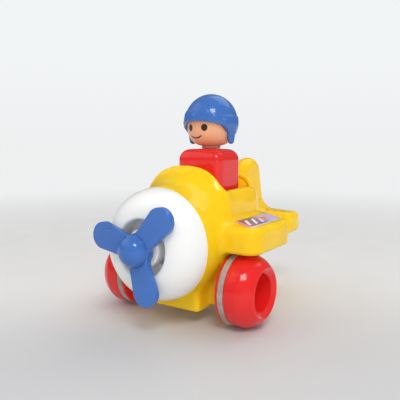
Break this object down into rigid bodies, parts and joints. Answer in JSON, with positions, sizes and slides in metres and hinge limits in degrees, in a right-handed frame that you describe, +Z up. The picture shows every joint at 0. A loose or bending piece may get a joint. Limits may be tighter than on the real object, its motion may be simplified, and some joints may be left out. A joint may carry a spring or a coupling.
{
  "type": "push-and-go toy airplane",
  "caption": "Chunky push-and-go toy airplane: the pilot is pressed down into the cockpit and a rack and gear train turn the front wheels, a flywheel and the propeller",
  "frame": {"origin": "on the ground below the middle of the toy's length and width", "axes": "+Z up, nose towards -Y, the toy's left wing towards +X"},
  "size_m": [0.1192, 0.1704, 0.1483],
  "materials": {
    "yellow": "glossy yellow moulded plastic",
    "white": "glossy white moulded plastic",
    "blue": "satin blue moulded plastic",
    "red": "glossy red moulded plastic",
    "rubber": "matt grey soft band",
    "cream": "natural nylon gears and frame",
    "grey_bush": "grey acetal bearing",
    "steel": "plain steel",
    "label": "printed sticker film",
    "skin": "satin flesh coloured plastic",
    "brown": "satin brown plastic"
  },
  "bodies": {
    "toy_body": {"upper_body": "yellow", "lower_body": "yellow", "nose_cowl": "white", "cockpit_floor": "yellow", "plunger_guide": "cream", "gearbox_plate_left": "cream", "gearbox_plate_right": "cream", "gearbox_posts": "cream", "gearbox_screws": "steel", "body_screws": "steel", "nose_bush": "grey_bush", "axle_bush_left": "grey_bush", "axle_bush_right": "grey_bush", "tail_wheel_pin": "steel", "return_spring": "steel", "wing_label_left": "label", "wing_label_right": "label"},
    "pilot": {"pilot_torso": "red", "plunger_base": "red", "drive_rack": "cream", "torso_screws": "steel", "neck_peg": "brown"},
    "head": {"pilot_head": "skin", "pilot_helmet": "blue"},
    "front_wheels": {"front_axle": "steel", "wheel_left": "red", "wheel_right": "red", "tyre_band_left": "rubber", "tyre_band_right": "rubber", "axle_gear": "cream"},
    "drive_shaft": {"drive_arbor": "steel", "drive_gear": "cream", "clutch_wheel": "cream"},
    "free_pinion": {"rack_pinion": "cream", "clutch_pawl": "steel"},
    "flywheel_shaft": {"flywheel_arbor": "steel", "flywheel": "steel", "flywheel_pinion": "cream", "crown_gear": "cream"},
    "propeller_shaft": {"prop_shaft": "steel", "prop_pinion": "cream", "propeller": "blue", "hub_cap": "blue"},
    "rear_wheel": {"tail_wheel": "red"}
  },
  "joints": [
    {"name": "pilot_press", "type": "slide", "parent": "toy_body", "child": "pilot", "axis": [0, 0, -1], "range_m": [0, 0.019], "stiffness_N_per_m": 150, "springref_m": -0.01, "deforming": ["return_spring"]},
    {"name": "head_turn", "type": "hinge", "parent": "pilot", "child": "head", "pos_m": [0, 0.0086, 0.1289], "axis": [0, 0, 1], "continuous": true},
    {"name": "front_axle_spin", "type": "hinge", "parent": "toy_body", "child": "front_wheels", "pos_m": [0, -0.0238, 0.023], "axis": [1, 0, 0], "continuous": true},
    {"name": "drive_shaft_spin", "type": "hinge", "parent": "toy_body", "child": "drive_shaft", "pos_m": [0, -0.0273, 0.04371], "axis": [1, 0, 0], "continuous": true},
    {"name": "free_pinion_turn", "type": "hinge", "parent": "toy_body", "child": "free_pinion", "pos_m": [0, -0.0273, 0.04371], "axis": [1, 0, 0], "range_deg": [-160, 1]},
    {"name": "flywheel_spin", "type": "hinge", "parent": "toy_body", "child": "flywheel_shaft", "pos_m": [0, -0.04214, 0.052], "axis": [1, 0, 0], "continuous": true},
    {"name": "propeller_spin", "type": "hinge", "parent": "toy_body", "child": "propeller_shaft", "pos_m": [0, -0.0743, 0.052], "axis": [0, 1, 0], "continuous": true},
    {"name": "tail_wheel_spin", "type": "hinge", "parent": "toy_body", "child": "rear_wheel", "pos_m": [0, 0.0512, 0.0095], "axis": [1, 0, 0], "continuous": true}
  ],
  "couplings": [
    {"joint": "drive_shaft_spin", "follows": "front_axle_spin", "ratio": -0.75},
    {"joint": "flywheel_spin", "follows": "front_axle_spin", "ratio": 1.8},
    {"joint": "propeller_spin", "follows": "front_axle_spin", "ratio": 2.7},
    {"joint": "free_pinion_turn", "follows": "pilot_press", "rad_per_m": -142.86}
  ]
}
